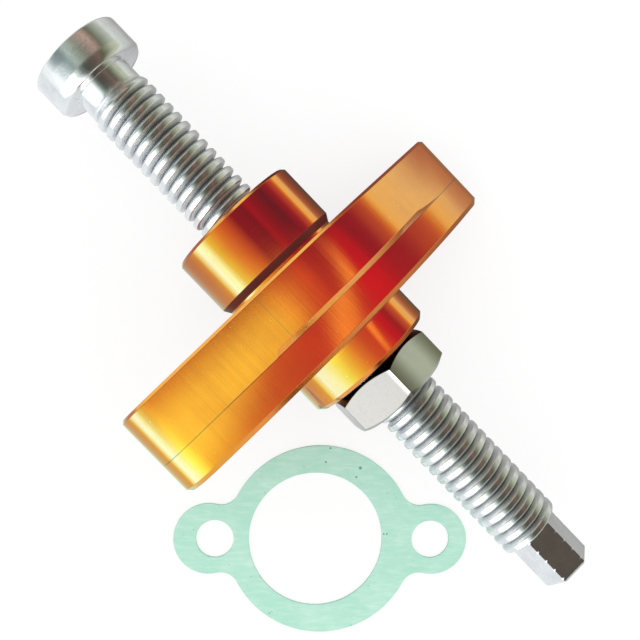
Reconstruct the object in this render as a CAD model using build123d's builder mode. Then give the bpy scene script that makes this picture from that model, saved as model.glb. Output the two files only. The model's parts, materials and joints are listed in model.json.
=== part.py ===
"""Manual timing chain tensioner for a small engine, with its paper gasket.

A billet body carries a long 5/16-18 screw. The screw's round head pushes the chain guide
inside the engine, and flats at its other end turn it. A thin nut locks it against the boss.

Frame, in millimetres: +X runs along the screw from the pusher head to the adjusting end,
+Z is up, and the origin is on the screw axis in the plane of the mounting face. The body is
rolled about the screw axis until the straight side below its low ear is level with the surface
that the gasket lies on.
"""

import os
from math import asin, cos, degrees, radians, sin, sqrt, tan

from build123d import *

# Flange outline: two round ears, straight sides and one wide arc on each side
ear_distance = 20.9
ear_radius = 4.75
side_distance = 13.6
side_arc_radius = 22.4

# Flange layers: a full outline at the engine, a waisted one outside
thick_layer = 6.4
thin_layer = 4.05
waist_half_width = 10.05
waist_corner_setback = 1.95
engine_edge_chamfer = 0.35
outer_edge_chamfer = 0.55
step_chamfer = 0.6
step_chamfer_end = 11.8

# Holes for two M5 screws, at their distances from the screw axis
bolt_hole_diameter = 5.5
far_bolt_distance = 15.05
near_bolt_distance = 13.1

# Spigot that enters the engine, with a relief groove beside the flange
spigot_diameter = 16.4
spigot_length = 8.4
spigot_chamfer = 0.35
relief_width = 1.25
relief_flat = 0.4
relief_depth = 0.5

# Boss on the outside
boss_diameter = 16.5
boss_length = 4.45
boss_chamfer = 0.5

# Thread, drawn at its outer diameter, and the bores that run on it
thread_diameter = 7.9
thread_clearance = 0.05
bore_chamfer = 0.6

# Adjusting screw
head_diameter = 11.7
head_length = 4.45
head_edge_round = 0.25
head_bevel_length = 0.5
head_bevel_depth = 0.33
head_standoff = 21.2
neck_diameter = 7.2
neck_length = 2.2
screw_length = 82.6
spanner_flats = 5.65
spanner_length = 6.5
spanner_roll = 5.7
tip_chamfer = 0.3

# Jam nut
nut_flats = 12.4
nut_thickness = 4.9
nut_gap = 0.35
nut_roll = 7.1
nut_face_diameter = 11.7
nut_chamfer_angle = 30
nut_bore_chamfer = 0.4

# Gasket, which lies on the same surface beside the screw
gasket_thickness = 0.5
gasket_ring_diameter = 24.5
gasket_bore_clearance = 0.5
gasket_bore_offset = 0.65
gasket_ear_distance = 14.55
gasket_ear_radius = 4.6
gasket_hole_diameter = 4.9
gasket_fillet = 2.4
gasket_x = 28.5
gasket_y = -20.6
gasket_turn = 45.6

# Places that follow from the sizes above
side_angle = asin((side_distance - ear_radius) / ear_distance)
flange_thickness = thick_layer + thin_layer
boss_face = flange_thickness + boss_length
bore_radius = thread_diameter / 2 + thread_clearance
nut_start = boss_face + nut_gap
nut_end = nut_start + nut_thickness
head_under_face = -spigot_length - head_standoff
head_face = head_under_face - head_length
tip_face = head_face + screw_length

# The ears are tilted until the straight side below the low ear is level
ear_axis = (0, -cos(side_angle), sin(side_angle))
flange_plane = Plane(origin=(0, 0, 0), x_dir=ear_axis, z_dir=(1, 0, 0))


def flange_level(x):
    """The plane square to the screw at x, with its own x along the ears and its own -y upward."""
    return flange_plane.offset(x)


def rolled_level(x, roll):
    """The plane square to the screw at x, with its own y upward, rolled towards +Y."""
    turn = radians(roll)
    return Plane(origin=(x, 0, 0), x_dir=(0, cos(turn), -sin(turn)), z_dir=(1, 0, 0))


# Full outline of the flange, one quarter drawn and mirrored
with BuildSketch(Plane.XY) as flange_outline:
    arc_center = (side_distance - side_arc_radius) / cos(side_angle)
    arc_end = (side_arc_radius * sin(side_angle), arc_center + side_arc_radius * cos(side_angle))
    ear_start = (ear_distance + ear_radius * sin(side_angle), ear_radius * cos(side_angle))
    with BuildLine():
        CenterArc((0, arc_center), side_arc_radius, 90 - degrees(side_angle), degrees(side_angle))
        Line(arc_end, ear_start)
        CenterArc((ear_distance, 0), ear_radius, 0, 90 - degrees(side_angle))
        mirror(about=Plane.YZ)
        mirror(about=Plane.XZ)
    make_face()

# Waisted outline of the outer layer: its arcs meet the same straight sides just short of the ears
with BuildSketch(Plane.XY) as waisted_outline:
    waist_reach = ear_distance - waist_corner_setback
    waist_corner = (waist_reach, ear_start[1] + (ear_start[0] - waist_reach) * tan(side_angle))
    with BuildLine():
        TangentArc((0, waist_half_width), waist_corner, tangent=(1, 0))
        Line(waist_corner, ear_start)
        CenterArc((ear_distance, 0), ear_radius, 0, 90 - degrees(side_angle))
        mirror(about=Plane.YZ)
        mirror(about=Plane.XZ)
    make_face()

# What the step chamfer takes off the thick layer, on one side and then half a turn round.
# Where the step is lower than the chamfer, the chamfer starts at the foot of the outer layer.
with BuildPart() as step_edge:
    with BuildSketch(flange_level(thick_layer)):
        with PolarLocations(0, 2):
            with Locations(((step_chamfer_end - ear_distance) / 2, -side_distance)):
                Rectangle(step_chamfer_end + ear_distance, 2 * side_distance)
    extrude(amount=-step_chamfer, taper=45)
    with BuildSketch(flange_level(thick_layer - step_chamfer)):
        add(flange_outline.sketch)
    extrude(amount=step_chamfer, taper=45, mode=Mode.SUBTRACT)
    with BuildSketch(flange_level(thick_layer)):
        add(waisted_outline.sketch)
    extrude(amount=-step_chamfer, taper=-45, mode=Mode.SUBTRACT)

# Body: the two flange layers, then the turned spigot and boss, then the holes
with BuildPart() as tensioner_body:
    with BuildSketch(flange_level(0)):
        add(flange_outline.sketch)
    extrude(amount=thick_layer)
    add(step_edge.part, mode=Mode.SUBTRACT)
    with BuildSketch(flange_level(thick_layer)):
        add(waisted_outline.sketch)
    extrude(amount=thin_layer)
    chamfer(faces().sort_by(Axis.X)[0].edges(), engine_edge_chamfer)
    chamfer(faces().sort_by(Axis.X)[-1].edges(), outer_edge_chamfer)

    spigot_radius = spigot_diameter / 2
    relief_radius = spigot_radius - relief_depth
    boss_radius = boss_diameter / 2
    with BuildSketch(Plane.XZ):
        Polygon(
            (0, 0),
            (0, relief_radius),
            (-relief_flat, relief_radius),
            (-relief_width, spigot_radius),
            (spigot_chamfer - spigot_length, spigot_radius),
            (-spigot_length, spigot_radius - spigot_chamfer),
            (-spigot_length, 0),
            align=None,
        )
        Polygon(
            (flange_thickness, 0),
            (flange_thickness, boss_radius),
            (boss_face - boss_chamfer, boss_radius),
            (boss_face, boss_radius - boss_chamfer),
            (boss_face, 0),
            align=None,
        )
    revolve(axis=Axis.X)

    with Locations(flange_level(flange_thickness)):
        with Locations((far_bolt_distance, 0), (-near_bolt_distance, 0)):
            Hole(bolt_hole_diameter / 2)
    with Locations(flange_level(boss_face)):
        Hole(bore_radius)
    end_faces = [faces().sort_by(Axis.X)[0], faces().sort_by(Axis.X)[-1]]
    bore_rims = [face.edges().sort_by(SortBy.LENGTH)[0] for face in end_faces]
    chamfer(bore_rims, bore_chamfer)

# Adjusting screw: turned head, neck and thread, then six flats on the thread's end
with BuildPart() as adjuster_screw:
    head_radius = head_diameter / 2
    neck_radius = neck_diameter / 2
    thread_radius = thread_diameter / 2
    thread_start = head_under_face + neck_length
    with BuildSketch(Plane.XZ):
        Polygon(
            (head_face, 0),
            (head_face, head_radius),
            (head_under_face - head_bevel_length, head_radius),
            (head_under_face, head_radius - head_bevel_depth),
            (head_under_face, neck_radius),
            (thread_start, neck_radius),
            (thread_start + thread_radius - neck_radius, thread_radius),
            (tip_face, thread_radius),
            (tip_face, 0),
            align=None,
        )
    revolve(axis=Axis.X)
    fillet(faces().sort_by(Axis.X)[0].edges(), head_edge_round)
    with BuildSketch(rolled_level(tip_face, spanner_roll)):
        Circle(thread_diameter)
        RegularPolygon(spanner_flats / 2, 6, major_radius=False, mode=Mode.SUBTRACT)
    extrude(amount=-spanner_length, mode=Mode.SUBTRACT)
    chamfer(faces().sort_by(Axis.X)[-1].edges(), tip_chamfer)

# Jam nut, with the chamfered corners of a turned hexagon
with BuildPart() as jam_nut:
    corner_radius = nut_flats / sqrt(3)
    face_radius = nut_face_diameter / 2
    corner_chamfer = (corner_radius - face_radius) * tan(radians(nut_chamfer_angle))
    with BuildSketch(rolled_level(nut_start, nut_roll)):
        RegularPolygon(nut_flats / 2, 6, major_radius=False, rotation=30)
        Circle(bore_radius, mode=Mode.SUBTRACT)
    extrude(amount=nut_thickness)
    with BuildSketch(Plane.XZ):
        Polygon(
            (nut_start, 0),
            (nut_start, face_radius),
            (nut_start + corner_chamfer, corner_radius),
            (nut_end - corner_chamfer, corner_radius),
            (nut_end, face_radius),
            (nut_end, 0),
            align=None,
        )
    revolve(axis=Axis.X, mode=Mode.INTERSECT)
    nut_faces = [faces().sort_by(Axis.X)[0], faces().sort_by(Axis.X)[-1]]
    nut_bore_rims = [face.edges().sort_by(SortBy.LENGTH)[0] for face in nut_faces]
    chamfer(nut_bore_rims, nut_bore_chamfer)

# Gasket: an even ring with two ears, punched with its holes a little off centre
turn = radians(gasket_turn)
gasket_plane = Plane(
    origin=(gasket_x, gasket_y, -side_distance),
    x_dir=(cos(turn), sin(turn), 0),
    z_dir=(0, 0, 1),
)
with BuildPart() as gasket:
    with BuildSketch(gasket_plane):
        Circle(gasket_ring_diameter / 2)
        with Locations((gasket_ear_distance, 0), (-gasket_ear_distance, 0)):
            Circle(gasket_ear_radius)
        fillet(vertices(), gasket_fillet)
        with Locations((-gasket_bore_offset, 0)):
            Circle(spigot_diameter / 2 + gasket_bore_clearance, mode=Mode.SUBTRACT)
            with Locations((far_bolt_distance, 0), (-near_bolt_distance, 0)):
                Circle(gasket_hole_diameter / 2, mode=Mode.SUBTRACT)
    extrude(amount=gasket_thickness)

tensioner_body.part.label = "tensioner_body"
adjuster_screw.part.label = "adjuster_screw"
jam_nut.part.label = "jam_nut"
gasket.part.label = "gasket"

os.makedirs("parts", exist_ok=True)
for piece in (tensioner_body, adjuster_screw, jam_nut, gasket):
    export_step(piece.part, f"parts/{piece.part.label}.step")
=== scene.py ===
"""Looks of a manual timing chain tensioner with its paper gasket, laid out as an add-on.

Everything is in metres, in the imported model's own frame: +X runs along the screw from the
pusher head to the adjusting end, and +Z is up.
"""

import json
from math import cos, pi, radians, sin, tan

import bmesh
import bpy
from mathutils import Matrix, Vector

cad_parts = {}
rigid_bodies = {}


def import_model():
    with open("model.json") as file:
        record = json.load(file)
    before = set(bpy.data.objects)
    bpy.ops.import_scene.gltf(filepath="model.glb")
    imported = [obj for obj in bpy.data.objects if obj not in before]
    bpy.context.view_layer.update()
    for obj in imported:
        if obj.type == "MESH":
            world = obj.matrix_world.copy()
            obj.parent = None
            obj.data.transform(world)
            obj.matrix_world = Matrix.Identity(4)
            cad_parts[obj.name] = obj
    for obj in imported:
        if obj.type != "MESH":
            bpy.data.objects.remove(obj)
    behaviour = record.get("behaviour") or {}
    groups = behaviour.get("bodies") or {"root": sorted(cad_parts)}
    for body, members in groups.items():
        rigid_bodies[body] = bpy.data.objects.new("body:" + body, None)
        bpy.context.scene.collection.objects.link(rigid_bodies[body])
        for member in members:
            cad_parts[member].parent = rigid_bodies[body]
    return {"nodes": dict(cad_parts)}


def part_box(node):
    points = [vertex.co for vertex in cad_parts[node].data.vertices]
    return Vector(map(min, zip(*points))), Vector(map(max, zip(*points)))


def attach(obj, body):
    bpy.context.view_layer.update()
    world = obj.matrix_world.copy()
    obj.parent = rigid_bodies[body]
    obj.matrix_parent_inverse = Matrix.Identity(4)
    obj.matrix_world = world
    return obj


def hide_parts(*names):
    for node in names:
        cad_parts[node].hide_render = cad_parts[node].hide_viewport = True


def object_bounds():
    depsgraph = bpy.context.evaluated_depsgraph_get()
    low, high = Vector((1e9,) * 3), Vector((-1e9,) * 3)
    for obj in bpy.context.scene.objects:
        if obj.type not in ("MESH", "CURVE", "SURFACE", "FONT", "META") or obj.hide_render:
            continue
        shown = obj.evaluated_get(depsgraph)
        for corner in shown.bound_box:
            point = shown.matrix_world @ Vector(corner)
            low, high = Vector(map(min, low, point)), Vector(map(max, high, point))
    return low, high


bl_info = {
    "name": "Timing Chain Tensioner",
    "version": (1, 0, 0),
    "blender": (4, 5, 0),
    "location": "3D View > Sidebar > Tensioner",
    "description": "Builds the surfaces, threads and studio of a manual timing chain tensioner",
    "category": "Object",
}

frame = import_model()
CAD_BOX = [list(corner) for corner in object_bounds()]
MM = 0.001

SCREW_LOW, SCREW_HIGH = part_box("adjuster_screw")
NUT_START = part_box("jam_nut")[0].x
FLOOR_LEVEL = CAD_BOX[0][2]
SIXTH = radians(60.0)


# Sizes and colours


def length(name, description, millimetres):
    """A length property whose default is written in millimetres."""
    return bpy.props.FloatProperty(
        name=name,
        description=description,
        default=millimetres * MM,
        unit="LENGTH",
        precision=5,
    )


def roll(name, description, degrees):
    """A turn about the screw, whose default is written in degrees."""
    return bpy.props.FloatProperty(
        name=name,
        description=description,
        default=radians(degrees),
        subtype="ANGLE",
        unit="ROTATION",
    )


def colour(name, description, default):
    """A colour property, in linear values."""
    return bpy.props.FloatVectorProperty(
        name=name, description=description, default=default, subtype="COLOR", min=0, max=1
    )


class TensionerSizes(bpy.types.PropertyGroup):
    """Sizes of the screw, which is made anew here, and of the finely rounded edges.

    Those of its head, neck and flats, and the nut's roll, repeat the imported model's.
    """

    pitch: length("Thread pitch", "Distance from one crest to the next", 1.4111)
    crest_radius: length("Crest radius", "Radius of the thread at its crests", 3.945)
    root_radius: length("Root radius", "Radius of the thread at its roots", 3.16)
    first_crest: length("First crest", "Where the crest line meets the +Y side", -26.62)
    neck_radius: length("Neck radius", "Radius of the plain neck under the head", 3.6)
    neck_end: length("Neck end", "Where the thread starts to run out of the neck", -27.4)
    head_radius: length("Head radius", "Radius of the pusher head", 5.85)
    head_length: length("Head length", "Length of the pusher head", 4.45)
    flats_across: length("Spanner flats", "Width across the six milled flats", 5.65)
    flats_length: length("Flats length", "Length of the six milled flats", 6.5)
    flats_roll: roll("Flats roll", "Turn of the upper flat away from level, towards +Y", 5.7)
    body_edge: length("Body edge", "Rounding of the body's edges", 0.09)
    nut_edge: length("Nut edge", "Rounding of the nut's edges", 0.12)
    nut_roll: roll("Nut roll", "Turn of the nut's upper corner away from upright, towards +Y", 7.1)
    gasket_edge: length("Gasket edge", "Rounding of the gasket's punched edges", 0.04)


class TensionerColours(bpy.types.PropertyGroup):
    """Base colours of the finishes."""

    anodised: colour("Anodised", "Orange dye of the anodised body", (0.84, 0.135, 0.013))
    anodised_deep: colour("Anodised, deep", "Dye where it took deeper", (0.76, 0.105, 0.011))
    zinc: colour("Zinc", "Bright zinc plating of the screw", (0.80, 0.81, 0.82))
    zinc_dull: colour("Zinc, dull", "Plating where it has dulled", (0.66, 0.66, 0.70))
    nut: colour("Nut", "Zinc plating of the nut", (0.70, 0.71, 0.69))
    paper: colour("Gasket", "Pale green fibre paper", (0.46, 0.82, 0.66))
    paper_pale: colour("Gasket, pale", "Fibres that took less dye", (0.64, 0.91, 0.80))
    floor: colour("Floor", "White studio floor", (0.90, 0.90, 0.90))


# Node trees as expressions


class Value:
    """A node's output. Arithmetic on it adds Math nodes."""

    def __init__(self, net, socket):
        self.net = net
        self.socket = socket

    def __add__(self, other):
        return self.net.math("ADD", self, other)

    def __sub__(self, other):
        return self.net.math("SUBTRACT", self, other)

    def __rsub__(self, other):
        return self.net.math("SUBTRACT", other, self)

    def __mul__(self, other):
        return self.net.math("MULTIPLY", self, other)

    def __truediv__(self, other):
        return self.net.math("DIVIDE", self, other)

    def __rtruediv__(self, other):
        return self.net.math("DIVIDE", other, self)

    def __pow__(self, other):
        return self.net.math("POWER", self, other)

    def __gt__(self, other):
        return self.net.math("GREATER_THAN", self, other)

    def __lt__(self, other):
        return self.net.math("LESS_THAN", self, other)


class Net:
    """A node tree under construction."""

    def __init__(self, tree):
        self.tree = tree

    def node(self, kind, settings=None, inputs=None, output=0):
        """Adds a node, makes its settings, feeds its inputs and returns one of its outputs."""
        made = self.tree.nodes.new(kind)
        for name, value in (settings or {}).items():
            if name == "stops":
                stops = made.color_ramp.elements
                stops.remove(stops[1])
                stops[0].position, stops[0].color = value[0][0], opaque(value[0][1])
                for position, shade in value[1:]:
                    stops.new(position).color = opaque(shade)
            else:
                setattr(made, name, value)
        for key, value in (inputs or {}).items():
            self.feed(made.inputs[key], value)
        return Value(self, made.outputs[output])

    def feed(self, socket, value):
        if isinstance(value, Value):
            self.tree.links.new(value.socket, socket)
        else:
            socket.default_value = value

    def math(self, operation, *values):
        return self.node("ShaderNodeMath", {"operation": operation}, dict(enumerate(values)))

    def parts(self, vector):
        """The three numbers of a vector."""
        made = self.node("ShaderNodeSeparateXYZ", None, {0: vector}).socket.node
        return [Value(self, made.outputs[i]) for i in range(3)]

    def join(self, x, y, z):
        return self.node("ShaderNodeCombineXYZ", None, {0: x, 1: y, 2: z})

    def off_middle(self, angle):
        """How far an angle lies from the middle of its sixth of a turn."""
        return self.math("FLOORED_MODULO", angle, SIXTH) - SIXTH / 2

    def span(self, value, low, high, start=0.0, end=1.0, smooth=True):
        """value taken from low..high to start..end, held at both ends."""
        kind = "SMOOTHSTEP" if smooth else "LINEAR"
        fed = {0: value, 1: low, 2: high, 3: start, 4: end}
        return self.node("ShaderNodeMapRange", {"interpolation_type": kind, "clamp": True}, fed)

    def mix(self, factor, first, second, blend="MIX"):
        """A mix of two colours."""
        settings = {"data_type": "RGBA", "blend_type": blend}
        return self.node("ShaderNodeMix", settings, {0: factor, 6: first, 7: second}, 2)

    def noise(self, vector, scale, detail, roughness):
        fed = {"Vector": vector, "Scale": scale, "Detail": detail, "Roughness": roughness}
        return self.node("ShaderNodeTexNoise", None, fed)

    def bump(self, height, strength, distance):
        fed = {"Height": height, "Strength": strength, "Distance": distance}
        return self.node("ShaderNodeBump", None, fed)


def opaque(shade):
    return (*shade, 1.0)


class Finish(Net):
    """A material under construction, with its Principled shader and the object's coordinates."""

    def __init__(self, name):
        self.material = bpy.data.materials.new(name)
        self.material.use_nodes = True
        super().__init__(self.material.node_tree)
        self.shader = self.tree.nodes["Principled BSDF"]
        self.place = self.node("ShaderNodeTexCoord", output="Object")
        self.x, self.y, self.z = self.parts(self.place)

    def set(self, **values):
        """Feeds the shader's sockets: base_color for Base Color, and so on."""
        for name, value in values.items():
            self.feed(self.shader.inputs[name.replace("_", " ").title()], value)
        return self.material

    def end_with(self, shader):
        """Lets another shader take the place of the Principled one."""
        self.tree.links.new(shader.socket, self.tree.nodes["Material Output"].inputs["Surface"])
        return self.material

    def distance(self, first, second):
        return self.math("SQRT", first * first + second * second)

    def radius(self):
        """The distance from the screw's axis."""
        return self.distance(self.y, self.z)

    def streaked(self, along):
        """The place with its x scaled, for streaks along the screw."""
        return self.join(self.x * along, self.y, self.z)

    def line(self, value, place, full, end, strength):
        """A thin line where value is at place. It is full to one distance and ends at another."""
        return self.span(self.math("ABSOLUTE", value - place), full, end, strength, 0.0)


# Materials

# Where the body's finish changes: the radius inside which it is turned, then along x the ends
# of the relief groove, those of the corner at the foot of the boss and the foot of the outer
# layer, and along y the end of the wide arc
TURNED_RADIUS = 8.3 * MM
GROOVE = (-1.32 * MM, -0.38 * MM)
BOSS_FOOT = (10.46 * MM, 10.8 * MM)
OUTER_LAYER_FOOT = 6.44 * MM
WIDE_ARC_END = -4.11 * MM

PALE_SPECK = (0.95, 0.60, 0.35)
# Painted shade for the relief groove and the corner at the foot of the boss
PAINTED_CREASE_SHADE = (0.14, 0.045, 0.055)
# Colour of the thin dark lines; the one at the foot of the outer layer is painted shade
LINE_SHADE = (0.22, 0.04, 0.02)


def anodised_finish(colours):
    """Orange dyed anodising over milled and turned aluminium."""
    net = Finish("orange_anodised_aluminium")
    edge = (TURNED_RADIUS, TURNED_RADIUS + 0.04 * MM)
    turned = net.span(net.radius(), *edge, 1.0, 0.0, smooth=False)
    along = net.noise(net.streaked(0.02), 5200.0, 3.0, 0.6)
    coarse = net.noise(net.streaked(0.04), 1500.0, 2.0, 0.5)
    rings = net.noise(net.join(net.x, 0.0, 0.0), 5000.0, 3.0, 0.7)
    clouds = net.noise(net.place, 160.0, 3.0, 0.55)
    streaks = along * (1.0 - turned * 0.7) + rings * (turned * 0.3)
    deep = net.span(clouds, 0.38, 0.66) * 0.55 + net.span(coarse, 0.45, 0.75) * 0.3
    shade = net.mix(deep, opaque(colours.anodised), opaque(colours.anodised_deep))
    specks = net.noise(net.place, 3800.0, 1.0, 0.4) > 0.80
    shade = net.mix(specks * 0.5, shade, opaque(PALE_SPECK))

    # The relief groove and the corner at the foot of the boss are dull, and darkened with painted
    # shade
    fade = 0.08 * MM
    groove = net.span(net.x, GROOVE[1] - fade, GROOVE[1], 1.0, 0.0)
    groove = groove * net.span(net.x, GROOVE[0], GROOVE[0] + fade)
    foot = net.span(net.x, BOSS_FOOT[1] - 0.3 * MM, BOSS_FOOT[1], 1.0, 0.0)
    crease = (groove + foot * (net.x > BOSS_FOOT[0])) * turned
    shade = net.mix(crease * 0.9, shade, opaque(PAINTED_CREASE_SHADE))

    # A thin line of painted shade follows the corner at the foot of the outer layer, and a fainter
    # dark line follows the end of the wide arc on top of the thick layer
    foot_line = net.line(net.x, OUTER_LAYER_FOOT, 0.03 * MM, 0.09 * MM, 0.7)
    arc_line = net.line(net.y, WIDE_ARC_END, 0.02 * MM, 0.10 * MM, 0.25)
    arc_line = arc_line * (net.x > 0.4 * MM) * (net.x < 5.8 * MM) * (net.z > 12.0 * MM)
    shade = net.mix(foot_line + arc_line, shade, opaque(LINE_SHADE))

    rough = net.span(streaks, 0.3, 0.7, 0.06, 0.10) + clouds * 0.03
    relief = net.bump(streaks, 0.32, 0.02 * MM)
    return net.set(
        base_color=shade,
        metallic=1.0 - crease * 0.7,
        roughness=rough + crease * 0.3,
        coat_weight=(1.0 - crease) * 0.8,
        coat_roughness=0.09,
        normal=relief,
    )


# The radius of the nut's round face and the slope of the chamfer that starts there
NUT_FACE_RADIUS = 5.85 * MM
NUT_CHAMFER_SLOPE = tan(radians(30.0))

# Painted shades of the nut: towards its corners, on its far side and on its chamfer beside the boss
NUT_CORNER_PAINTED_SHADE = (0.22, 0.21, 0.16)
NUT_FAR_SIDE_PAINTED_SHADE = (0.25, 0.21, 0.20)
NUT_CHAMFER_PAINTED_SHADE = (0.03, 0.028, 0.025)
# Painted shade in the roots of the thread
ROOT_PAINTED_SHADE = (0.14, 0.15, 0.13)


def nut_painted_shade(net, shade, corner):
    """Painted shade that only the nut shows: on its chamfer beside the boss, and on its flats.

    corner is the turn of one corner. On the +Y side the flats darken towards their corners, and
    on the other side they are darker all over.
    """
    split = 0.8 * MM
    off_flat = net.math("ABSOLUTE", net.off_middle(net.math("ARCTAN2", net.y, net.z) - corner))
    dark = net.span(off_flat, radians(6.0), SIXTH / 2, 0.0, 0.9) * (net.y > split)
    shade = net.mix(dark, shade, opaque(NUT_CORNER_PAINTED_SHADE))
    far_side = net.span(net.y, 0.2 * MM, split, 0.75, 0.0)
    shade = net.mix(far_side, shade, opaque(NUT_FAR_SIDE_PAINTED_SHADE))
    off_chamfer = net.x - NUT_START - (net.radius() - NUT_FACE_RADIUS) * NUT_CHAMFER_SLOPE
    chamfer = net.span(off_chamfer, 0.03 * MM, 0.10 * MM, 0.96, 0.0)
    return net.mix(chamfer, shade, opaque(NUT_CHAMFER_PAINTED_SHADE))


def thread_root_painted_shade_and_dulling(net, shade, rough, sizes):
    """What only the thread shows: painted shade in its roots, and all but its crests are dull."""
    radius = net.radius()
    threaded = (net.x > sizes.neck_end) * (net.x < SCREW_HIGH.x - sizes.flats_length)
    root, crest = sizes.root_radius, sizes.crest_radius
    dark = net.span(radius, root, root + 0.24 * MM, 0.55, 0.0) * threaded
    dulled = net.span(radius, crest - 0.105 * MM, crest - 0.01 * MM, 0.24, 0.03) * threaded
    return net.mix(dark, shade, opaque(ROOT_PAINTED_SHADE)), rough + dulled


def zinc_finish(name, bright, dull, roughness, corner=None, thread=None):
    """Bright zinc plating on turned steel, faintly speckled.

    corner is given for the nut, and thread for the screw, as its sizes.
    """
    net = Finish(name)
    rings = net.noise(net.join(net.x, 0.0, 0.0), 7000.0, 2.0, 0.6)
    specks = net.noise(net.place, 3800.0, 4.0, 0.7)
    clouds = net.noise(net.place, 420.0, 3.0, 0.6)
    worn = net.span(clouds, 0.42, 0.64) * 0.5 + net.span(specks, 0.5, 0.68) * 0.5
    shade = net.mix(worn, opaque(bright), opaque(dull))
    rough = net.span(specks, 0.35, 0.65, roughness, roughness + 0.07) + clouds * 0.04
    # The nut gets painted shade on its chamfer and flats
    if corner is not None:
        shade = nut_painted_shade(net, shade, corner)
    # The thread gets painted shade in its roots, and duller flanks
    if thread is not None:
        shade, rough = thread_root_painted_shade_and_dulling(net, shade, rough, thread)
    relief = net.bump(specks * 0.8 + rings * 0.4, 0.16, 0.02 * MM)
    return net.set(base_color=shade, metallic=1.0, roughness=rough, normal=relief)


# The few dark flecks that stand out on the paper, as (x, y, radius) in millimetres
PAPER_FLECKS = (
    (21.7, -13.1, 0.17),
    (25.4, -10.4, 0.26),
    (25.9, -11.6, 0.18),
    (20.8, -11.4, 0.16),
    (33.8, -14.2, 0.15),
    (34.1, -13.9, 0.15),
)
FLECK_SHADE = (0.10, 0.25, 0.19)


def paper_finish(colours):
    """Pale green fibre paper with faint streaks and a few dark flecks."""
    net = Finish("green_gasket_paper")
    # The fibres lie level in the photo's frame, at 45 degrees to the screw
    slant = cos(radians(45.0))
    run = (net.x + net.y) * slant
    across = (net.y - net.x) * slant
    fibres = net.noise(net.join(run * 0.22, across, net.z), 1900.0, 5.0, 0.65)
    clouds = net.noise(net.place, 260.0, 3.0, 0.6)
    pale = net.span(fibres, 0.40, 0.72) * 0.6 + net.span(clouds, 0.4, 0.7) * 0.35
    shade = net.mix(pale, opaque(colours.paper), opaque(colours.paper_pale))
    darkest = 0.75
    flecks = (net.noise(net.place, 1500.0, 2.0, 0.5) > 0.735) * 0.4
    for x, y, size in PAPER_FLECKS:
        away = net.distance(net.x - x * MM, net.y - y * MM)
        flecks = flecks + net.span(away, 0.6 * size * MM, size * MM, darkest, 0.0)
    shade = net.mix(net.math("MINIMUM", flecks, darkest), shade, opaque(FLECK_SHADE))
    grain = net.noise(net.place, 5200.0, 4.0, 0.7)
    relief = net.bump(grain + fibres * 0.7, 0.35, 0.05 * MM)
    return net.set(base_color=shade, roughness=0.78, normal=relief)


def eye_rays(net):
    """1 for rays that end in the eye, straight, by a reflection or through glass, else 0."""
    path = net.node("ShaderNodeLightPath").socket.node
    seen = Value(net, path.outputs["Is Camera Ray"])
    glossy = Value(net, path.outputs["Is Glossy Ray"])
    passed = Value(net, path.outputs["Is Transmission Ray"])
    return seen + glossy + passed


def floor_finish(colours):
    """White floor: nearly plain white to the eye and in reflections, with a faint shadow."""
    net = Finish("white_floor")
    net.set(base_color=opaque(colours.floor), roughness=0.9)
    net.shader.inputs["Specular IOR Level"].default_value = 0.1
    plain = net.node("ShaderNodeEmission", None, {"Strength": 1.06})
    shaded = Value(net, net.shader.outputs[0])
    share = eye_rays(net) * 0.72
    return net.end_with(net.node("ShaderNodeMixShader", None, {0: share, 1: shaded, 2: plain}))


# The strength of every glow. Their colours are divided by it, to stay between 0 and 1.
GLOW = 20.0


def dimmed(shade):
    return tuple(level / GLOW for level in shade)


def end_glow(net, shade, clear):
    """Ends a glow's material. Rays go through a clear one to what is behind it."""
    glow = net.node("ShaderNodeEmission", None, {"Color": shade, "Strength": GLOW})
    if clear:
        passing = net.node("ShaderNodeBsdfTransparent")
        glow = net.node("ShaderNodeAddShader", None, {0: glow, 1: passing})
    return net.end_with(glow)


def even_glow(name, shade, clear=False):
    """The same glow all over."""
    return end_glow(Finish(name), opaque(dimmed(shade)), clear)


def glow_finish(name, low, high, reach, spots=(), clear=False, sheet_half=None, far=None):
    """Glow of a reflection tent, by the degrees from straight up towards +Y.

    low and high are the stops at the two ends of reach along the screw. A level sheet has its
    half width given, and its stops go by the distance towards +Y instead. A spot is an oval of
    extra glow, which may slant. far gives the distances to the -X side between which the glow
    changes to another colour, and that colour.
    """
    net = Finish(name)
    angle = net.math("ARCTAN2", net.y, net.z - FLOOR_LEVEL) * (180.0 / pi)
    by, half = (angle, 90.0) if sheet_half is None else (net.y, sheet_half)
    share = net.span(by, -half, half, 0.0, 1.0, smooth=False)
    ends = []
    for stops in (low, high):
        placed = [((at + half) / (2.0 * half), dimmed(shade)) for at, shade in stops]
        ends.append(net.node("ShaderNodeValToRGB", {"stops": placed}, {0: share}))
    shade = net.mix(net.span(net.x, *reach, smooth=False), *ends)
    for spot_angle, spot_x, wide, long, slant, extra in spots:
        along = net.x - spot_x
        away = net.distance((angle - spot_angle - along * slant) / wide, along / long)
        inside = net.span(away, 0.35, 1.0, 1.0, 0.0)
        shade = net.mix(inside, shade, opaque(dimmed(extra)), "ADD")
    if far is not None:
        start, end, colour_there = far
        shade = net.mix(net.span(net.x * -1.0, start, end), shade, opaque(dimmed(colour_there)))
    return end_glow(net, shade, clear)


# Meshes


def place_piece(mesh, name, body, node, material):
    """Puts a finished mesh in the scene as a piece that rides on a body and stands for a node."""
    mesh.materials.clear()
    mesh.materials.append(material)
    piece = bpy.data.objects.new(name, mesh)
    bpy.context.scene.collection.objects.link(piece)
    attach(piece, body)
    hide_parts(node)
    return piece


def evaluated_mesh(holder):
    """The plain mesh that an object's modifiers give, after which the object is removed."""
    graph = bpy.context.evaluated_depsgraph_get()
    mesh = bpy.data.meshes.new_from_object(holder.evaluated_get(graph), depsgraph=graph)
    old = holder.data
    bpy.data.objects.remove(holder)
    bpy.data.meshes.remove(old)
    return mesh


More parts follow.
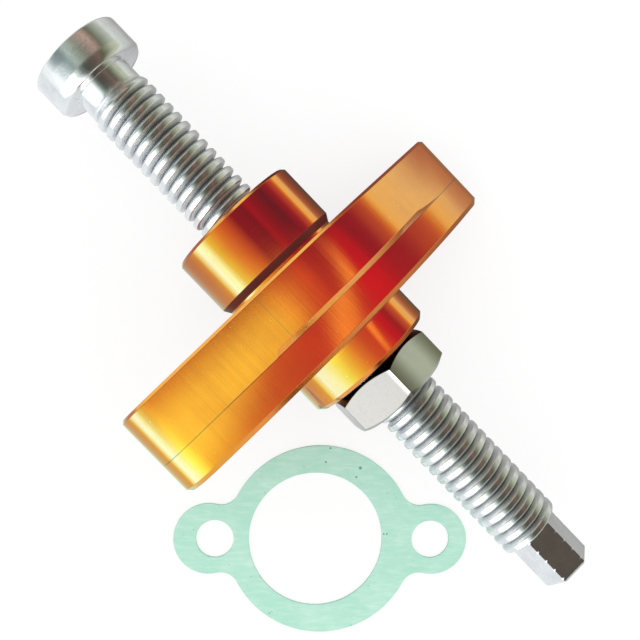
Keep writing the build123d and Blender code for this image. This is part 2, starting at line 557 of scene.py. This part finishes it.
def rounded_copy(node, width, angle=25.0, weld=0.002 * MM):
    """A copy of a CAD node with its triangles merged and its edges finely rounded."""
    mesh = frame["nodes"][node].data.copy()
    for layer in ("custom_normal", "sharp_edge", "sharp_face"):
        if layer in mesh.attributes:
            mesh.attributes.remove(mesh.attributes[layer])
    shape = bmesh.new()
    shape.from_mesh(mesh)
    bmesh.ops.remove_doubles(shape, verts=shape.verts, dist=weld)
    flat = radians(0.6)
    bmesh.ops.dissolve_limit(shape, angle_limit=flat, verts=shape.verts, edges=shape.edges)
    bmesh.ops.recalc_face_normals(shape, faces=shape.faces)
    for face in shape.faces:
        face.smooth = True
    shape.to_mesh(mesh)
    shape.free()
    mesh.materials.clear()
    holder = bpy.data.objects.new(node + "_rounding", mesh)
    bpy.context.scene.collection.objects.link(holder)
    rounding = holder.modifiers.new("Rounding", "BEVEL")
    rounding.width = width
    rounding.segments = 2
    rounding.limit_method = "ANGLE"
    rounding.angle_limit = radians(angle)
    rounding.harden_normals = True
    rounding.use_clamp_overlap = True
    return evaluated_mesh(holder)


def head_profile(sizes):
    """The turned outline of the pusher head and neck, as (x, radius), from the axis outward."""
    face = SCREW_LOW.x
    under = face + sizes.head_length
    rim, neck = sizes.head_radius, sizes.neck_radius
    edge_round = 0.25 * MM
    bevel_length, bevel_depth = 0.50 * MM, 0.36 * MM
    neck_round = 0.15 * MM
    line = [(face, 0.0), (face, 0.3 * rim), (face, 0.62 * rim), (face, rim - edge_round)]
    for degrees in (22.5, 45.0, 67.5, 90.0):
        turn = radians(degrees)
        line.append((face + edge_round * (1 - cos(turn)), rim - edge_round * (1 - sin(turn))))
    line += [(face + 0.33 * sizes.head_length, rim), (face + 0.66 * sizes.head_length, rim)]
    line += [(under - bevel_length - 0.04 * MM, rim), (under - bevel_length, rim - 0.01 * MM)]
    line += [(under - 0.03 * MM, rim - bevel_depth + 0.05 * MM), (under, rim - bevel_depth)]
    line += [(under, 0.75 * rim), (under, neck + neck_round)]
    line += [(under + 0.04 * MM, neck + 0.04 * MM), (under + neck_round, neck)]
    line.append((sizes.neck_end, neck))
    return line


SCREW_INPUTS = (
    ("Pitch", "pitch"),
    ("Crest Radius", "crest_radius"),
    ("Root Radius", "root_radius"),
    ("First Crest", "first_crest"),
    ("Neck Radius", "neck_radius"),
    ("Neck End", "neck_end"),
    ("Flats Across", "flats_across"),
    ("Flats Length", "flats_length"),
    ("Flats Roll", "flats_roll"),
)


def screw_tree(material, head_rows):
    """Wraps a grid round the axis: turned rows first, then rows that follow the helix."""
    tree = bpy.data.node_groups.new("threaded_screw", "GeometryNodeTree")
    face = tree.interface
    face.new_socket("Profile", in_out="INPUT", socket_type="NodeSocketGeometry")
    for label, _ in SCREW_INPUTS:
        face.new_socket(label, in_out="INPUT", socket_type="NodeSocketFloat")
    face.new_socket("Tip", in_out="INPUT", socket_type="NodeSocketFloat")
    for label in ("Rows per Pitch", "Columns"):
        face.new_socket(label, in_out="INPUT", socket_type="NodeSocketInt")
    face.new_socket("Screw", in_out="OUTPUT", socket_type="NodeSocketGeometry")
    net = Net(tree)
    given = tree.nodes.new("NodeGroupInput")
    size = {socket.name: Value(net, socket) for socket in given.outputs if socket.name}
    pitch, tip = size["Pitch"], size["Tip"]
    columns, per_pitch = size["Columns"], size["Rows per Pitch"]
    start = size["Neck End"]

    turns = (tip - start) / pitch
    helix_rows = net.math("CEIL", (turns + 1.0) * per_pitch) + 1.0
    rows = helix_rows + (head_rows + 1.0)
    grid = net.node("GeometryNodeMeshGrid", None, {"Vertices X": rows, "Vertices Y": columns + 1.0})
    index = net.node("GeometryNodeInputIndex")
    row = net.math("FLOOR", (index + 0.5) / (columns + 1.0))
    column = index - row * (columns + 1.0)

    # The columns are turned so that the corners of the flats lie on them
    step = (2 * pi) / columns
    corner = (SIXTH - size["Flats Roll"]) / step
    theta = (column + (corner - net.math("FLOOR", corner))) * step

    # Turned rows read the profile, and the others climb one pitch in each turn
    turned = net.node(
        "GeometryNodeSampleIndex",
        {"data_type": "FLOAT_VECTOR", "clamp": True},
        {0: Value(net, given.outputs["Profile"]), 1: net.node("GeometryNodeInputPosition"), 2: row},
    )
    turned_x, turned_radius, _ = net.parts(turned)
    climb = (row - head_rows) / per_pitch + theta / (2 * pi) - 1.0
    climbed = start + climb * pitch
    helix_x = net.math("MINIMUM", net.math("MAXIMUM", climbed, start), tip)

    # The wave is 1 at a crest and 0 at a root. Crests are broad, roots narrow, and the thread
    # runs out towards the neck.
    phase = (helix_x - size["First Crest"]) / pitch - theta / (2 * pi)
    wave = net.math("ABSOLUTE", net.math("FRACT", phase) - 0.5) * 2.0
    depth = net.span(wave, 0.06, 0.70, 1.0, 0.0, smooth=False) ** 1.9
    thread = size["Crest Radius"] - (size["Crest Radius"] - size["Root Radius"]) * depth
    run_out = net.span((helix_x - start) / pitch, 0.0, 0.8)
    thread = size["Neck Radius"] + (thread - size["Neck Radius"]) * run_out

    # Six flats, with a small chamfer round the tip. They end where a steep shoulder lifts them
    # clear of the thread.
    tip_chamfer = 0.3 * MM
    lead = tip - helix_x
    apothem = size["Flats Across"] / 2.0
    apothem = net.math("MINIMUM", apothem, apothem - tip_chamfer + lead)
    from_flat = theta - (pi / 2 - size["Flats Roll"]) + SIXTH / 2
    flat = apothem / net.math("COSINE", net.off_middle(from_flat))
    shoulder = net.span(lead - size["Flats Length"], 0.0, 0.05 * MM, 0.0, 9.0 * MM, smooth=False)
    helix_radius = net.math("MINIMUM", thread, flat + shoulder)

    is_turned = row < head_rows - 0.5
    closing = row > helix_rows + (head_rows - 0.5)
    x = turned_x * is_turned + helix_x * (1.0 - is_turned)
    radius = turned_radius * is_turned + helix_radius * (1.0 - is_turned)
    radius = radius * (1.0 - closing)
    place = net.join(x, radius * net.math("COSINE", theta), radius * net.math("SINE", theta))
    wrapped = net.node("GeometryNodeSetPosition", None, {"Geometry": grid, "Position": place})
    merged = net.node(
        "GeometryNodeMergeByDistance", None, {"Geometry": wrapped, "Distance": 0.001 * MM}
    )
    smooth = net.node("GeometryNodeSetShadeSmooth", None, {"Geometry": merged})
    real = net.node("GeometryNodeRealizeInstances", None, {"Geometry": smooth})
    coated = net.node("GeometryNodeSetMaterial", None, {"Geometry": real, "Material": material})
    result = tree.nodes.new("NodeGroupOutput")
    tree.links.new(coated.socket, result.inputs["Screw"])
    return tree


def screw_mesh(sizes, material, rows_per_pitch=20, columns=72):
    """The whole screw as one closed mesh."""
    profile = head_profile(sizes)
    line = bpy.data.meshes.new("screw_profile")
    line.from_pydata([(x, radius, 0.0) for x, radius in profile], [], [])
    holder = bpy.data.objects.new("screw_profile", line)
    bpy.context.scene.collection.objects.link(holder)
    tree = screw_tree(material, len(profile))
    values = {label: getattr(sizes, name) for label, name in SCREW_INPUTS}
    values.update({"Tip": SCREW_HIGH.x, "Rows per Pitch": rows_per_pitch, "Columns": columns})
    winding = holder.modifiers.new("Thread", "NODES")
    winding.node_group = tree
    for item in tree.interface.items_tree:
        if item.in_out == "INPUT" and item.name in values:
            winding[item.identifier] = values[item.name]
    mesh = evaluated_mesh(holder)
    shape = bmesh.new()
    shape.from_mesh(mesh)
    bmesh.ops.dissolve_degenerate(shape, edges=shape.edges, dist=0.0005 * MM)
    bmesh.ops.recalc_face_normals(shape, faces=shape.faces)
    loose = [vertex for vertex in shape.verts if not vertex.link_faces]
    bmesh.ops.delete(shape, geom=loose, context="VERTS")
    shape.to_mesh(mesh)
    shape.free()
    mesh.set_sharp_from_angle(angle=radians(38.0))
    return mesh


# Operators


class BuildBody(bpy.types.Operator):
    """Build the anodised body with finely rounded edges"""

    bl_idname = "tensioner.build_body"
    bl_label = "Body"

    def execute(self, context):
        settings = context.scene
        mesh = rounded_copy("tensioner_body", settings.tensioner_sizes.body_edge)
        finish = anodised_finish(settings.tensioner_colours)
        place_piece(mesh, "anodised_body", "housing", "tensioner_body", finish)
        return {"FINISHED"}


class BuildScrew(bpy.types.Operator):
    """Build the adjusting screw with its thread, neck, head and flats"""

    bl_idname = "tensioner.build_screw"
    bl_label = "Screw"

    def execute(self, context):
        settings = context.scene
        colours = settings.tensioner_colours
        sizes = settings.tensioner_sizes
        finish = zinc_finish(
            "zinc_plated_screw", colours.zinc, colours.zinc_dull, 0.10, thread=sizes
        )
        mesh = screw_mesh(sizes, finish)
        place_piece(mesh, "threaded_screw", "screw", "adjuster_screw", finish)
        return {"FINISHED"}


class BuildNut(bpy.types.Operator):
    """Build the jam nut with rounded corners"""

    bl_idname = "tensioner.build_nut"
    bl_label = "Jam nut"

    def execute(self, context):
        settings = context.scene
        colours = settings.tensioner_colours
        sizes = settings.tensioner_sizes
        mesh = rounded_copy("jam_nut", sizes.nut_edge, angle=16.0)
        finish = zinc_finish(
            "zinc_plated_nut", colours.nut, colours.zinc_dull, 0.16, corner=sizes.nut_roll
        )
        place_piece(mesh, "hexagon_nut", "nut", "jam_nut", finish)
        return {"FINISHED"}


class BuildGasket(bpy.types.Operator):
    """Build the paper gasket with its punched edges"""

    bl_idname = "tensioner.build_gasket"
    bl_label = "Gasket"

    def execute(self, context):
        settings = context.scene
        mesh = rounded_copy("gasket", settings.tensioner_sizes.gasket_edge)
        finish = paper_finish(settings.tensioner_colours)
        place_piece(mesh, "paper_gasket", "housing", "gasket", finish)
        return {"FINISHED"}


# Stage. The levels of its glows come from comparing the metal's brightness with the photo's.

# What the dyed body reflects at its spigot and at its boss, as (degrees from straight up
# towards +Y, red, green)
SPIGOT_GLOW = (
    (-90.0, 0.98, 2.8),
    (-77.0, 1.20, 6.0),
    (-66.0, 1.17, 5.7),
    (-55.0, 0.99, 3.0),
    (-33.0, 0.88, 1.15),
    (-15.0, 0.66, 0.46),
    (0.0, 0.30, 0.07),
    (20.0, 0.23, 0.07),
    (28.0, 0.40, 0.07),
    (40.0, 0.27, 0.07),
    (60.0, 0.15, 0.08),
    (76.0, 0.34, 0.08),
    (90.0, 0.60, 0.40),
)
BOSS_GLOW = (
    (-90.0, 1.05, 3.6),
    (-76.0, 1.20, 6.0),
    (-60.0, 1.17, 5.8),
    (-41.0, 1.08, 4.5),
    (-22.0, 0.98, 2.4),
    (-4.0, 0.86, 1.05),
    (14.0, 0.70, 0.46),
    (42.0, 0.72, 0.22),
    (56.0, 0.62, 0.08),
    (74.0, 0.38, 0.10),
    (90.0, 0.64, 0.50),
)
BODY_REACH = (-0.024, 0.050)

# What it reflects far to the -X side, as two distances and the colour beyond them
FAR_TENT = (0.12, 0.40, (0.18, 0.04, 0.06))
FAR_FLOOR = (0.05, 0.12, (1.05, 2.5, 1.4))
BODY_END = (1.15, 2.7, 1.6)
ZINC_END = (0.80, 0.84, 0.82)

# Ovals of extra light: (degrees, x, half width in degrees, half length, degrees for each metre
# along x, colour)
BODY_SPOTS = (
    (-22.0, 0.020, 43.0, 0.031, -700.0, (0.52, 2.45, 0.5)),
    (15.0, 0.006, 22.0, 0.026, 0.0, (0.34, 0.35, 0.05)),
    (40.4, 0.036, 8.0, 0.042, -330.0, (0.50, 1.25, 0.3)),
    (47.8, 0.008, 6.0, 0.022, 0.0, (0.25, 0.25, 0.1)),
    (58.0, 0.014, 10.0, 0.040, 0.0, (0.25, 0.0, 0.0)),
)

# What the body reflects from the floor, as (distance towards +Y, colour). The dark band near the
# body is a painted shadow of the body on the floor.
SPIGOT_FLOOR = (
    (-0.42, (0.98, 2.8, 1.0)),
    (-0.08, (0.70, 1.05, 0.8)),
    (-0.015, (0.45, 0.42, 0.38)),
    (0.015, (0.10, 0.05, 0.05)),
    (0.044, (0.42, 0.25, 0.22)),
    (0.056, (0.92, 1.9, 1.2)),
    (0.11, (1.00, 2.1, 1.0)),
    (0.18, (0.80, 1.0, 0.4)),
    (0.42, (0.60, 0.4, 0.3)),
)
BOSS_FLOOR = (
    (-0.42, (1.00, 3.2, 1.0)),
    (-0.09, (0.90, 1.9, 0.8)),
    (-0.015, (0.95, 1.6, 1.0)),
    (0.012, (0.10, 0.10, 0.1)),
    (0.030, (0.50, 0.50, 0.2)),
    (0.044, (0.85, 1.5, 1.0)),
    (0.052, (0.92, 1.9, 1.2)),
    (0.11, (1.00, 2.1, 1.0)),
    (0.18, (0.80, 1.0, 0.4)),
    (0.42, (0.60, 0.4, 0.3)),
)

# What the zinc reflects, as (degrees from straight up towards +Y, colour)
ZINC_GLOW = (
    (-90.0, (1.30, 1.36, 1.35)),
    (-62.0, (2.50, 2.62, 2.58)),
    (-42.0, (2.10, 2.26, 2.20)),
    (-28.0, (0.85, 0.96, 0.90)),
    (-16.0, (0.22, 0.25, 0.22)),
    (-4.0, (0.08, 0.09, 0.07)),
    (18.0, (0.13, 0.10, 0.08)),
    (30.0, (0.20, 0.14, 0.11)),
    (42.0, (0.12, 0.11, 0.07)),
    (54.0, (0.26, 0.28, 0.20)),
    (72.0, (0.54, 0.58, 0.42)),
    (90.0, (0.66, 0.68, 0.56)),
)

# The same at the pusher head, which lies far to the -X side
HEAD_GLOW = (
    (-90.0, (1.00, 1.05, 1.04)),
    (-70.0, (1.12, 1.16, 1.16)),
    (-50.0, (0.42, 0.50, 0.49)),
    (-36.0, (0.26, 0.33, 0.33)),
    (-24.0, (0.26, 0.33, 0.32)),
    (-12.0, (0.56, 0.66, 0.58)),
    (0.0, (0.44, 0.50, 0.42)),
    (14.0, (0.31, 0.32, 0.25)),
    (28.0, (0.46, 0.36, 0.29)),
    (40.0, (0.64, 0.44, 0.35)),
    (54.0, (0.16, 0.15, 0.10)),
    (68.0, (0.32, 0.36, 0.28)),
    (90.0, (0.62, 0.65, 0.58)),
)
ZINC_REACH = (-0.148, -0.132)

# What the zinc reflects from the floor, as (distance towards +Y, colour). The dimmer band just to
# the +Y side of the pieces is a painted shadow on the floor.
ZINC_FLOOR = (
    (-0.42, (0.90, 0.95, 0.94)),
    (-0.10, (0.90, 0.95, 0.95)),
    (-0.014, (1.00, 1.04, 1.05)),
    (0.0, (0.70, 0.72, 0.72)),
    (0.014, (0.45, 0.45, 0.43)),
    (0.034, (0.66, 0.68, 0.64)),
    (0.105, (0.80, 0.83, 0.77)),
    (0.42, (0.78, 0.80, 0.74)),
)

# The tents' radii, half their length, and half the width of the floor sheets
BODY_TENT = 0.42
ZINC_TENT = 0.40
TENT_HALF = 0.90
SHEET_HALF = 0.42
FLOOR_HALF = 3.0

# How bright the world is as a light. To the eye it is plain white.
WORLD_LIGHT = 0.80

# The camera that was fitted to the photograph. Its focal length is in widths of the picture.
FOCAL_LENGTH = 960.8 / 640.0
CAMERA_PLACE = Vector((2.02, -1.18, 111.38)) * MM
CAMERA_TILT = radians(2.656)
CAMERA_LEAN = radians(0.159)
CAMERA_SPIN = radians(46.194)


def warm(stops):
    """Adds the blue that goes with each stop's red and green. Only the brightest has much."""
    filled = []
    for at, red, green in stops:
        blue = 0.34 + 0.16 * green + (green / 4.65) ** 9.0
        filled.append((at, (red, green, blue)))
    return filled


def half_round(radius, half, sides=64):
    """Corners and faces of a half tube along the screw, standing on the floor."""
    verts, faces = [], []
    for i in range(sides + 1):
        turn = pi * i / sides
        for x in (-half, half):
            verts.append((x, radius * cos(turn), FLOOR_LEVEL + radius * sin(turn)))
    for i in range(sides):
        faces.append((2 * i, 2 * i + 1, 2 * i + 3, 2 * i + 2))
    return verts, faces


def end_walls(radius, half, sides=64):
    """Corners and faces of the two half discs that close such a tube."""
    verts = half_round(radius, half, sides)[0]
    return verts, [tuple(range(0, len(verts), 2)), tuple(range(1, len(verts), 2))]


def sheet(half_x, half_y, below):
    """Corners and face of a rectangle a little below the floor level."""
    corners = [(-half_x, -half_y), (half_x, -half_y), (half_x, half_y), (-half_x, half_y)]
    return [(x, y, FLOOR_LEVEL - below) for x, y in corners], [(0, 1, 2, 3)]


class BuildStage(bpy.types.Operator):
    """Build the floor, the lights and the camera"""

    bl_idname = "tensioner.build_stage"
    bl_label = "Stage"

    def execute(self, context):
        scene = context.scene
        scene.view_settings.view_transform = "Standard"
        self.add_floor(scene)
        self.add_tents()
        self.add_lights(scene)
        self.add_camera(scene)
        return {"FINISHED"}

    def new_object(self, name, shape, finish):
        corners, faces = shape
        mesh = bpy.data.meshes.new(name)
        mesh.from_pydata(corners, [], faces)
        mesh.materials.append(finish)
        made = bpy.data.objects.new(name, mesh)
        bpy.context.scene.collection.objects.link(made)
        return made

    def add_floor(self, scene):
        shape = sheet(FLOOR_HALF, FLOOR_HALF, 0.02 * MM)
        floor = self.new_object("floor", shape, floor_finish(scene.tensioner_colours))

    def add_tents(self):
        """Half round tents with end walls and floor sheets, which only reflections see."""
        pieces = bpy.data.objects
        body = [pieces["anodised_body"]]
        shape = half_round(BODY_TENT, TENT_HALF)
        spigot, boss = warm(SPIGOT_GLOW), warm(BOSS_GLOW)
        finish = glow_finish("body_tent", spigot, boss, BODY_REACH, BODY_SPOTS, far=FAR_TENT)
        self.add_glow("body_tent", shape, finish, body)
        shape = end_walls(BODY_TENT, TENT_HALF)
        self.add_glow("body_ends", shape, even_glow("body_ends", BODY_END), body)
        shape = sheet(TENT_HALF, SHEET_HALF, 0.012 * MM)
        kind = {"sheet_half": SHEET_HALF, "far": FAR_FLOOR}
        finish = glow_finish("body_floor", SPIGOT_FLOOR, BOSS_FLOOR, BODY_REACH, **kind)
        self.add_glow("body_floor", shape, finish, body)

        # The zinc's own tent stands inside the body's, and rays go through it to the world
        zinc = [pieces["threaded_screw"], pieces["hexagon_nut"]]
        shape = half_round(ZINC_TENT, TENT_HALF)
        finish = glow_finish("zinc_tent", HEAD_GLOW, ZINC_GLOW, ZINC_REACH, clear=True)
        self.add_glow("zinc_tent", shape, finish, zinc)
        shape = end_walls(ZINC_TENT, TENT_HALF - 0.02)
        self.add_glow("zinc_ends", shape, even_glow("zinc_ends", ZINC_END, clear=True), zinc)
        shape = sheet(TENT_HALF, SHEET_HALF, 0.006 * MM)
        kind = {"sheet_half": SHEET_HALF, "clear": True}
        finish = glow_finish("zinc_floor", ZINC_FLOOR, ZINC_FLOOR, ZINC_REACH, **kind)
        self.add_glow("zinc_floor", shape, finish, zinc)

    def add_glow(self, name, shape, finish, receivers):
        """A glow that only the reflections of its receivers see."""
        glow = self.new_object(name, shape, finish)
        glow.visible_camera = False
        glow.visible_diffuse = False
        glow.visible_shadow = False
        glow.visible_transmission = False
        chosen = bpy.data.collections.new(name + "_receivers")
        for piece in receivers:
            chosen.objects.link(piece)
        glow.light_linking.receiver_collection = chosen

    def add_lights(self, scene):
        """Soft light for the floor and the paper, which the metal doesn't reflect."""
        for name, place, size, power in (
            ("top_light", (-0.05, -0.12, 0.55), 0.7, 1.1),
            ("side_light", (0.1, 0.5, 0.35), 0.5, 0.35),
        ):
            lamp = bpy.data.lights.new(name, "AREA")
            lamp.shape = "SQUARE"
            lamp.size = size
            lamp.energy = power
            holder = bpy.data.objects.new(name, lamp)
            holder.location = place
            holder.rotation_euler = (-Vector(place)).to_track_quat("-Z", "Y").to_euler()
            holder.visible_glossy = False
            scene.collection.objects.link(holder)
        world = bpy.data.worlds.new("studio")
        scene.world = world
        world.use_nodes = True
        net = Net(world.node_tree)
        background = world.node_tree.nodes["Background"]
        background.inputs["Color"].default_value = (1, 1, 1, 1)
        strength = eye_rays(net) * (1.0 - WORLD_LIGHT) + WORLD_LIGHT
        net.feed(background.inputs["Strength"], strength)

    def add_camera(self, scene):
        tilt = Matrix.Rotation(-CAMERA_TILT, 3, "Y")
        lean = Matrix.Rotation(CAMERA_LEAN, 3, "X")
        spin = Matrix.Rotation(CAMERA_SPIN, 3, "Z")
        pose = (tilt @ lean @ spin).to_4x4()
        pose.translation = CAMERA_PLACE
        lens = bpy.data.cameras.new("photo_camera")
        lens.sensor_width = 36.0
        lens.lens = FOCAL_LENGTH * lens.sensor_width
        lens.clip_start = 0.005
        lens.clip_end = 20.0
        camera = bpy.data.objects.new("photo_camera", lens)
        camera.matrix_world = pose
        scene.collection.objects.link(camera)
        scene.camera = camera


class TensionerPanel(bpy.types.Panel):
    """Lists the pieces, the stage and their sizes and colours"""

    bl_idname = "VIEW3D_PT_tensioner"
    bl_label = "Timing Chain Tensioner"
    bl_space_type = "VIEW_3D"
    bl_region_type = "UI"
    bl_category = "Tensioner"

    def draw(self, context):
        for step in STEPS:
            self.layout.operator(step.bl_idname)
        for group in (context.scene.tensioner_sizes, context.scene.tensioner_colours):
            box = self.layout.box()
            for name in group.__annotations__:
                box.prop(group, name)


STEPS = (BuildBody, BuildScrew, BuildNut, BuildGasket, BuildStage)
CLASSES = (TensionerSizes, TensionerColours, *STEPS, TensionerPanel)


def register():
    for each in CLASSES:
        bpy.utils.register_class(each)
    bpy.types.Scene.tensioner_sizes = bpy.props.PointerProperty(type=TensionerSizes)
    bpy.types.Scene.tensioner_colours = bpy.props.PointerProperty(type=TensionerColours)


def unregister():
    del bpy.types.Scene.tensioner_colours
    del bpy.types.Scene.tensioner_sizes
    for each in reversed(CLASSES):
        bpy.utils.unregister_class(each)


def main():
    register()
    bpy.ops.tensioner.build_body()
    bpy.ops.tensioner.build_screw()
    bpy.ops.tensioner.build_nut()
    bpy.ops.tensioner.build_gasket()
    bpy.ops.tensioner.build_stage()


if __name__ == "__main__":
    main()
